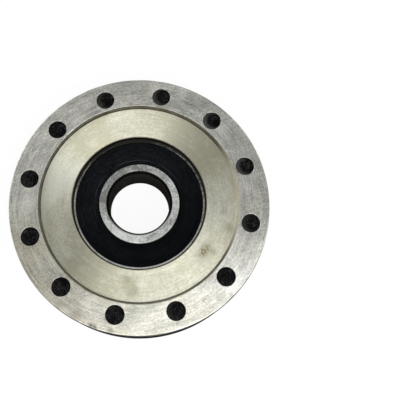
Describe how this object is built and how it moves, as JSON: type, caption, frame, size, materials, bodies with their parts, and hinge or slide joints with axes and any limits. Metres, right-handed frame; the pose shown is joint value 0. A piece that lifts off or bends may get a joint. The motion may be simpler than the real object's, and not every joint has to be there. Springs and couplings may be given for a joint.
{
  "type": "v groove wheel",
  "caption": "Steel V groove wheel lying flat, with a black tyre moulded between two flanges and a sealed ball bearing held in its hub.",
  "frame": {"origin": "middle of the axle bore, half way between the two flange faces", "axes": "+Z along the wheel's axis, out of the side with the sunk face and the bearing's lip; the retaining ring is on the -Z side with its gap towards +Y"},
  "size_m": [0.085, 0.085, 0.021],
  "materials": {
    "core_steel": "turned steel, sanded on the flanges",
    "tyre_black": "moulded black polyurethane, satin",
    "bearing_steel": "ground bearing steel",
    "ball_steel": "polished bearing steel",
    "cage_steel": "pressed sheet steel",
    "seal_rubber": "moulded nitrile rubber, fine grain",
    "ring_steel": "phosphated spring steel"
  },
  "bodies": {
    "axle_ring": {"bearing_inner_ring": "bearing_steel"},
    "wheel": {"wheel_core": "core_steel", "tyre": "tyre_black", "bearing_outer_ring": "bearing_steel", "seal_front": "seal_rubber", "seal_back": "seal_rubber", "retaining_ring": "ring_steel"},
    "cage": {"cage_front": "cage_steel", "cage_back": "cage_steel", "cage_rivets": "cage_steel"},
    "ball_1_body": {"ball_1": "ball_steel"},
    "ball_2_body": {"ball_2": "ball_steel"},
    "ball_3_body": {"ball_3": "ball_steel"},
    "ball_4_body": {"ball_4": "ball_steel"},
    "ball_5_body": {"ball_5": "ball_steel"},
    "ball_6_body": {"ball_6": "ball_steel"},
    "ball_7_body": {"ball_7": "ball_steel"},
    "ball_8_body": {"ball_8": "ball_steel"}
  },
  "joints": [
    {"name": "wheel_spin", "type": "hinge", "parent": "axle_ring", "child": "wheel", "pos_m": [0, 0, 0], "axis": [0, 0, 1], "continuous": true},
    {"name": "cage_spin", "type": "hinge", "parent": "axle_ring", "child": "cage", "pos_m": [0, 0, 0], "axis": [0, 0, 1], "continuous": true},
    {"name": "ball_1_spin", "type": "hinge", "parent": "cage", "child": "ball_1_body", "pos_m": [0.01675, 0, 0], "axis": [0, 0, 1], "continuous": true},
    {"name": "ball_2_spin", "type": "hinge", "parent": "cage", "child": "ball_2_body", "pos_m": [0.01184, 0.01184, 0], "axis": [0, 0, 1], "continuous": true},
    {"name": "ball_3_spin", "type": "hinge", "parent": "cage", "child": "ball_3_body", "pos_m": [0, 0.01675, 0], "axis": [0, 0, 1], "continuous": true},
    {"name": "ball_4_spin", "type": "hinge", "parent": "cage", "child": "ball_4_body", "pos_m": [-0.01184, 0.01184, 0], "axis": [0, 0, 1], "continuous": true},
    {"name": "ball_5_spin", "type": "hinge", "parent": "cage", "child": "ball_5_body", "pos_m": [-0.01675, 0, 0], "axis": [0, 0, 1], "continuous": true},
    {"name": "ball_6_spin", "type": "hinge", "parent": "cage", "child": "ball_6_body", "pos_m": [-0.01184, -0.01184, 0], "axis": [0, 0, 1], "continuous": true},
    {"name": "ball_7_spin", "type": "hinge", "parent": "cage", "child": "ball_7_body", "pos_m": [0, -0.01675, 0], "axis": [0, 0, 1], "continuous": true},
    {"name": "ball_8_spin", "type": "hinge", "parent": "cage", "child": "ball_8_body", "pos_m": [0.01184, -0.01184, 0], "axis": [0, 0, 1], "continuous": true}
  ],
  "couplings": [
    {"joint": "cage_spin", "follows": "wheel_spin", "ratio": 0.6185},
    {"joint": "ball_1_spin", "follows": "wheel_spin", "ratio": 1.9915},
    {"joint": "ball_2_spin", "follows": "wheel_spin", "ratio": 1.9915},
    {"joint": "ball_3_spin", "follows": "wheel_spin", "ratio": 1.9915},
    {"joint": "ball_4_spin", "follows": "wheel_spin", "ratio": 1.9915},
    {"joint": "ball_5_spin", "follows": "wheel_spin", "ratio": 1.9915},
    {"joint": "ball_6_spin", "follows": "wheel_spin", "ratio": 1.9915},
    {"joint": "ball_7_spin", "follows": "wheel_spin", "ratio": 1.9915},
    {"joint": "ball_8_spin", "follows": "wheel_spin", "ratio": 1.9915}
  ]
}
